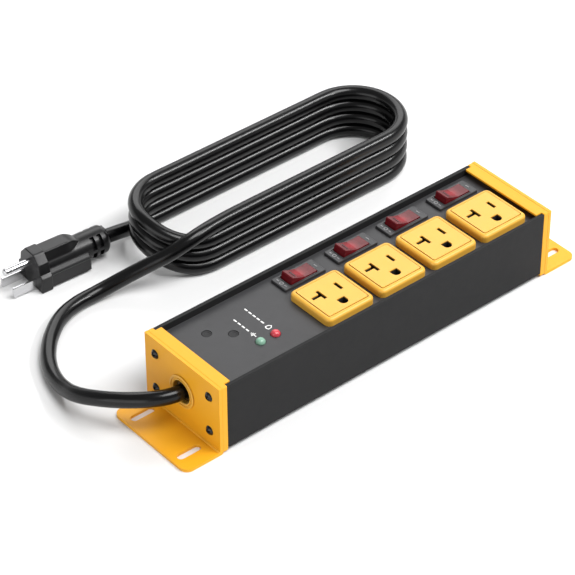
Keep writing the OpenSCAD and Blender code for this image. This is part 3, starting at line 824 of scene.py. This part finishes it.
# The plug's own frame: u back from its front face along the cord, v across, w up, in millimetres
PRONGS_AT = (-115.5, 159.5)
PRONGS_YAW = 177
AXIS_W = 10.5
GRIP_R = 9
PLUG_L = 53
# Each blade's middle height, distance from the middle, own height and reach out of the face
BLADE_W = 4.7
BLADE_HALF = 6.35
BLADE_H = 6.35
BLADE_OUT = 16.4
BLADE_T = 1.5
# The ground pin's height and radius, how far the prongs go into the plug, and the pin's straight part
PIN_W = 16.6
PIN_R = 2.4
PRONG_IN = 8
PIN_STRAIGHT = 16.8
# Where the collar, the ridge's top and the wings end, and the radius of the collar's and wings' edges
COLLAR_L = 7.5
COLLAR_ROUND = 0.7
RIDGE_END = 23
WING_END = 36
WING_ROUND = 1.2
# The grip slots on each side: their places, width, depth, and their span of angles about the axis
SLOTS_U = (41, 46)
SLOT_W = 2.8
SLOT_DEPTH = 2.4
SLOT_ANGLES = (7, 62)
SIDE_STEPS = 180


def plug_place():
    """Moves what is drawn in the plug's own frame to where the plug lies."""
    yaw = Matrix.Rotation(math.radians(PRONGS_YAW + 180), 4, "Z")
    return Matrix.Translation(mm(*PRONGS_AT, 0)) @ yaw


def ray_to_outline(outline, angle):
    """How far a convex outline lies from the plug's axis at an angle."""
    way = Vector((math.cos(angle), math.sin(angle)))
    best = 0.0
    for i, b in enumerate(outline):
        a = Vector(outline[i - 1])
        edge = Vector(b) - a
        cross = way.x * edge.y - way.y * edge.x
        if abs(cross) < 1e-9:
            continue
        t = (a.x * edge.y - a.y * edge.x) / cross
        s = (a.x * way.y - a.y * way.x) / cross
        if t > 0 and -1e-6 <= s <= 1 + 1e-6:
            best = max(best, t)
    return best


def smooth_max(a, b, blend):
    """The larger of two values, with a rounded corner where they cross."""
    if abs(a - b) >= blend:
        return max(a, b)
    return max(a, b) + (blend - abs(a - b)) ** 2 / (4 * blend)


def mirrored_outline(half):
    """An outline about the plug's axis from its points on one side, given as (v, w)."""
    right = [(v, w - AXIS_W) for v, w in half]
    return right + [(-v, w) for v, w in reversed(right)]


COLLAR = mirrored_outline([(12.4, 0), (13, 0.6), (13, 10.6), (11, 12.4), (9.8, 18.5), (5.1, 23.6),
                           (4.3, 24)])
WINGS = mirrored_outline([(11.4, 1.2), (12, 1.8), (12, 10.2), (11.4, 11.4), (9.2, 12.8)])
RIDGE = mirrored_outline([(7.6, 10), (6.4, 16.8), (4.9, 22.6), (4.4, 23)])
RIB = mirrored_outline([(12.6, 9.9), (12.75, 10.2), (12.75, 10.9), (12.5, 11.3)])


def ease(t):
    """Runs from 0 to 1 with a gentle start and end."""
    t = min(1.0, max(0.0, t))
    return (1 - math.cos(math.pi * t)) / 2


def ridge_scale(u):
    """The ridge holds its height, then curves down into the grip."""
    t = min(1.0, max(0.0, (u - RIDGE_END) / 11))
    return 1 - 0.40 * t ** 2.2


def plug_radius(angle, u):
    """The plug's surface: its distance from the axis at an angle and a depth u."""
    if u <= COLLAR_L:
        edge = min(1.0, u / COLLAR_ROUND, (COLLAR_L - u) / COLLAR_ROUND + 0.35)
        return ray_to_outline(COLLAR, angle) - COLLAR_ROUND * (1 - math.sqrt(1 - (1 - edge) ** 2))
    radius = GRIP_R
    if u > PLUG_L - 3:
        radius -= 2.2 * ((u - PLUG_L + 3) / 3) ** 2
    radius = smooth_max(radius, ray_to_outline(RIDGE, angle) * ridge_scale(u), 0.5)
    if u < WING_END:
        edge = min(1.0, (WING_END - u) / WING_ROUND)
        wings = ray_to_outline(WINGS, angle) - WING_ROUND * (1 - math.sqrt(1 - (1 - edge) ** 2))
        radius = smooth_max(radius, wings, 0.35)
        radius = max(radius, ray_to_outline(RIB, angle) - 0.25)
    lift = math.degrees(math.asin(abs(math.sin(angle))))
    in_slot = any(abs(u - middle_u) < SLOT_W / 2 + 0.01 for middle_u in SLOTS_U)
    if in_slot and SLOT_ANGLES[0] < lift < SLOT_ANGLES[1]:
        radius -= SLOT_DEPTH
    return radius


def plug_stations():
    """Depths of the plug's rings: closer where its shape turns or a slot begins."""
    marks = [0, 0.12, 0.35, 0.7, 2.5, 5, COLLAR_L - 0.4, COLLAR_L - 0.12, COLLAR_L, COLLAR_L + 0.02]
    u = COLLAR_L + 1
    while u < PLUG_L - 0.1:
        marks.append(u)
        u += 0.5
    marks += [WING_END + step for step in (-0.6, -0.25, -0.06, -0.01, 0.01)]
    for slot in SLOTS_U:
        half = SLOT_W / 2
        marks += [slot - half - 0.05, slot - half, slot + half, slot + half + 0.05]
    marks.append(PLUG_L)
    return sorted(marks)


def make_plug_body():
    """The moulded plug: rings from its front face to the hole that the cord goes into."""
    angles = [2 * math.pi * k / SIDE_STEPS for k in range(SIDE_STEPS)]
    for lift in SLOT_ANGLES:
        for quarter in (lift, 180 - lift, 180 + lift, 360 - lift):
            angles += [math.radians(quarter - 0.25), math.radians(quarter + 0.25)]
    angles.sort()
    rings = []
    for u in plug_stations():
        rings.append([
            (u * MM, plug_radius(a, u) * math.cos(a) * MM,
             max(AXIS_W + plug_radius(a, u) * math.sin(a), 0.05) * MM)
            for a in angles
        ])
    hole = (CORD_D / 2 + 0.25) * MM
    for u, r in ((PLUG_L + 0.3, 6.2 * MM), (PLUG_L + 0.3, hole), (PLUG_L - 4, hole)):
        rings.append([(u * MM, r * math.cos(a), AXIS_W * MM + r * math.sin(a)) for a in angles])
    bm = bmesh.new()
    loft(bm, rings)
    bmesh.ops.transform(bm, matrix=plug_place(), verts=bm.verts)
    return piece("plug_shell", bm, plug_rubber, BOX, ["plug_body"], sharp=38)


def make_plug_blades():
    """Two flat blades with softly broken edges."""
    bm = bmesh.new()
    half = BLADE_H / 2
    corners = [(PRONG_IN, -half), (PRONG_IN, half), (-BLADE_OUT, half), (-BLADE_OUT, -half)]
    outline = fillet(corners, 0.5, steps=3)
    half_t = BLADE_T / 2 * MM
    for side in (-1, 1):
        place = plug_place() @ facing_y(0, side * BLADE_HALF * MM, BLADE_W * MM)
        plate(bm, moved(outline), [], -half_t, half_t, 0.15 * MM, place=place)
    return piece("mains_blades", bm, prong_metal, BOX, ["plug_blades"])


def make_plug_pin():
    """A folded ground pin with a closed round nose."""
    profile = [(0, -PRONG_IN), (PIN_R, -PRONG_IN), (PIN_R, PIN_STRAIGHT)]
    profile += arc((PIN_R - 1.5, PIN_STRAIGHT), 1.5, 0, 75, steps=6)
    profile += [(0.9, 18.4), (0.6, 18.2), (0, 18.1)]
    bm = bmesh.new()
    forward = Matrix.Rotation(-math.pi / 2, 4, "Y")
    lathe(bm, [(r * MM, z * MM) for r, z in profile], steps=40,
          place=plug_place() @ Matrix.Translation((0, 0, PIN_W * MM)) @ forward)
    return piece("mains_ground_pin", bm, prong_metal, BOX, ["plug_ground_pin"])


# ---------------------------------------------------------------- camera, cord, stage


# The camera's aim, its distance in metres, its direction in degrees and its lens in millimetres
CAMERA_AIM = mm(-27.6, 26.2, 32.4)
CAMERA_AWAY = 1.4948
CAMERA_AZIMUTH = 40
CAMERA_ELEVATION = 38.24
CAMERA_ROLL = -0.2
LENS = 162.6
SENSOR = 36


def unit_vector(azimuth, elevation):
    """The direction of a place seen at an azimuth and an elevation."""
    return Vector((-math.sin(azimuth) * math.cos(elevation),
                   -math.cos(azimuth) * math.cos(elevation), math.sin(elevation)))


def make_camera():
    """The camera, above the box and to its front left."""
    toward = unit_vector(math.radians(CAMERA_AZIMUTH), math.radians(CAMERA_ELEVATION))
    data = bpy.data.cameras.new("camera")
    data.sensor_width = SENSOR
    data.lens = LENS
    data.clip_start = 0.05
    camera = add_object("camera", data)
    spin = Matrix.Rotation(math.radians(CAMERA_ROLL), 4, "Z")
    turn = (-toward).to_track_quat("-Z", "Y").to_matrix().to_4x4()
    camera.matrix_world = Matrix.Translation(CAMERA_AIM + toward * CAMERA_AWAY) @ turn @ spin
    bpy.context.scene.camera = camera


# The cord's diameter and the middle line of its coil, in millimetres
CORD_D = 9.3
COIL_R = 29.5
COIL_LEFT = -21
COIL_RIGHT = 114
COIL_Y = 130
# From inside the box to the coil's top row, and from its bottom row into the plug
LEAD_ROUTE = [
    (-106, 0, 25), (-116, 0, 25), (-126, 0, 25), (-134, 1.5, 25), (-142, 6, 24.6),
    (-149, 13, 23.2), (-155, 22, 20.8), (-160, 34, 17), (-163, 47, 12.5), (-162.5, 60, 8.1),
    (-160, 73, 5.5), (-155, 86, 4.8), (-147, 98, 4.8), (-136, 109, 4.8), (-123, 117.5, 4.8),
    (-109, 121.5, 4.8), (-96, 121.5, 5.4), (-86, 119.3, 8), (-77, 116.1, 11.6),
    (-69.8, 112.6, 15.2), (-62.7, 108.6, 19.2), (-56, 104.4, 23.2), (-49, 101.3, 27.1),
    (-41.5, 99.4, 30.4), (-32, 99.2, 32.2), (-21.5, 99.9, 32.5), (-11, 100.5, 32.5),
]
TAIL_ROUTE = [
    (-26, 159.4, 4.7), (-34, 158.6, 5.6), (-43, 157.2, 7.6), (-52, 156.4, 9.6),
    (-61, 156.6, 10.5), (-70, 157.1, 10.5),
]
# The turns lie on each other and the cord winds down from the top row to the one on the floor
ROWS = (4, 3, 2, 1)
RUN_STEP = 13.5
BEND_STEP = 10
# Where a strand leaves its row for the one below, in degrees of the left bend
DROP_START = 160
DROP_END = 255
# The first point of the top row that the cord goes through, after the lead has come in
LEAD_JOINS = 2


def row_z(row):
    """The height of a row's middle line."""
    return (row - 0.5) * CORD_D + 0.15


def around_bend(centre_x, degrees, z):
    """A point on one of the coil's round ends."""
    a = math.radians(degrees)
    return (centre_x + COIL_R * math.cos(a), COIL_Y + COIL_R * math.sin(a), z)


def coil_turn(row, next_row, start):
    """One turn of the coil: near run, right bend, far run and, unless it is the last, left bend.

    The near run begins at its point number start, because the lead brings the first turn in.
    """
    z = row_z(row)
    steps = round((COIL_RIGHT - COIL_LEFT) / RUN_STEP)
    points = [(COIL_LEFT + k * RUN_STEP, COIL_Y - COIL_R, z) for k in range(start, steps)]
    points += [around_bend(COIL_RIGHT, degrees, z) for degrees in range(-90, 90, BEND_STEP)]
    points += [(COIL_RIGHT - k * RUN_STEP, COIL_Y + COIL_R, z) for k in range(steps)]
    if next_row is None:
        return points
    for degrees in range(90, 270, BEND_STEP):
        drop = ease((degrees - DROP_START) / (DROP_END - DROP_START))
        points.append(around_bend(COIL_LEFT, degrees, z + (row_z(next_row) - z) * drop))
    return points


def make_cord():
    """The whole cord as one curve: lead, coil and tail."""
    points = list(LEAD_ROUTE)
    for i, row in enumerate(ROWS):
        next_row = ROWS[i + 1] if i + 1 < len(ROWS) else None
        points += coil_turn(row, next_row, start=LEAD_JOINS if i == 0 else 0)
    points += TAIL_ROUTE
    data = bpy.data.curves.new("cord", "CURVE")
    data.dimensions = "3D"
    data.bevel_depth = CORD_D / 2 * MM
    data.bevel_resolution = 8
    data.resolution_u = 4
    data.use_fill_caps = True
    spline = data.splines.new("BEZIER")
    spline.bezier_points.add(len(points) - 1)
    for knot, place in zip(spline.bezier_points, points):
        knot.co = mm(*place)
        knot.handle_left_type = "AUTO"
        knot.handle_right_type = "AUTO"
    data.materials.append(cord_rubber)
    cord = add_object("cord", data)
    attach(cord, BOX)
    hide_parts("cord_lead", "cord_coil", "cord_tail")
    return cord


# Studio light by height above the horizon, 0 to 1: a bright rim under a dim room
SKY = [(0.0, 1.0), (0.12, 0.75), (0.28, 0.20), (1.0, 0.20)]
SKY_STRENGTH = 1.5
# The lamps' distance and half the floor's width, in metres, and the floor's two pale greys
LIGHT_AWAY = 2.0
FLOOR_HALF = 6
FLOOR_GREYS = (0.72, 0.74)
SUN_FROM = (0.15, -0.42, 1.0)
SUN_STRENGTH = 2.2
SUN_SPREAD = 30
# Each panel light: the direction it shines from, its watts, and its two sides in metres
PANEL_LIGHTS = [
    ((0.64, 0.77, 0.80), 18, 1.9, 1.0),
    ((0.50, -0.46, 0.73), 28, 1.2, 0.22),
    ((-1.0, -0.15, 0.30), 10, 2.0, 1.0),
]


def add_light(kind, towards, energy, **settings):
    """A lamp that shines on the object from a direction, at LIGHT_AWAY metres."""
    data = bpy.data.lights.new("studio", kind)
    data.energy = energy
    for key, value in settings.items():
        setattr(data, key, value)
    lamp = add_object("studio", data)
    direction = Vector(towards).normalized()
    turn = direction.to_track_quat("Z", "Y").to_matrix().to_4x4()
    lamp.matrix_world = Matrix.Translation(direction * LIGHT_AWAY) @ turn


def make_stage():
    """A plain pale floor, a soft sky, a broad sun and the panel lights."""
    n = Nodes("floor_white")
    darker, lighter = ((grey, grey, grey) for grey in FLOOR_GREYS)
    n.join(n.ramp(n.noise(3, detail=2), [(0.3, darker), (0.7, lighter)]),
           n.shader.inputs["Base Color"])
    n.set(Roughness=0.6)
    mesh = bpy.data.meshes.new("floor")
    half = FLOOR_HALF
    corners = [(-half, -half, 0), (half, -half, 0), (half, half, 0), (-half, half, 0)]
    mesh.from_pydata(corners, [], [(0, 1, 2, 3)])
    mesh.materials.append(n.material)
    floor = add_object("floor", mesh)
    world = bpy.data.worlds.new("world")
    bpy.context.scene.world = world
    world.use_nodes = True
    tree = world.node_tree
    sky = tree.nodes["Background"]
    place = tree.nodes.new("ShaderNodeTexCoord")
    split = tree.nodes.new("ShaderNodeSeparateXYZ")
    tree.links.new(place.outputs["Generated"], split.inputs["Vector"])
    ramp = tree.nodes.new("ShaderNodeValToRGB")
    tree.links.new(split.outputs["Z"], ramp.inputs["Fac"])
    set_stops(ramp, [(height, (level, level, level)) for height, level in SKY])
    tree.links.new(ramp.outputs["Color"], sky.inputs["Color"])
    sky.inputs["Strength"].default_value = SKY_STRENGTH
    add_light("SUN", SUN_FROM, SUN_STRENGTH, angle=math.radians(SUN_SPREAD))
    for towards, watts, width, height in PANEL_LIGHTS:
        add_light("AREA", towards, watts, shape="RECTANGLE", size=width, size_y=height)
    bpy.context.scene.view_settings.view_transform = "Standard"


make_camera()
cord = make_cord()
make_stage()

for node_name, (coat, edge_width) in CARRIED.items():
    carry(node_name, coat, edge_width)

make_panel()
make_panel_print()
make_blanking_plugs()
for node_name, (lens_colour, light_colour) in LENSES.items():
    make_lamp(node_name, lens_colour, light_colour)
for number in OUTLETS:
    make_bezel(number)
    make_face(number)
    make_switch_frame(number)
    make_switch_marks(number)
    make_rocker(number)
make_screws(-1, "left_cap_screws")
make_screws(1, "right_cap_screws")
make_grommet()
plug_pieces = [make_plug_body(), make_plug_blades(), make_plug_pin()]
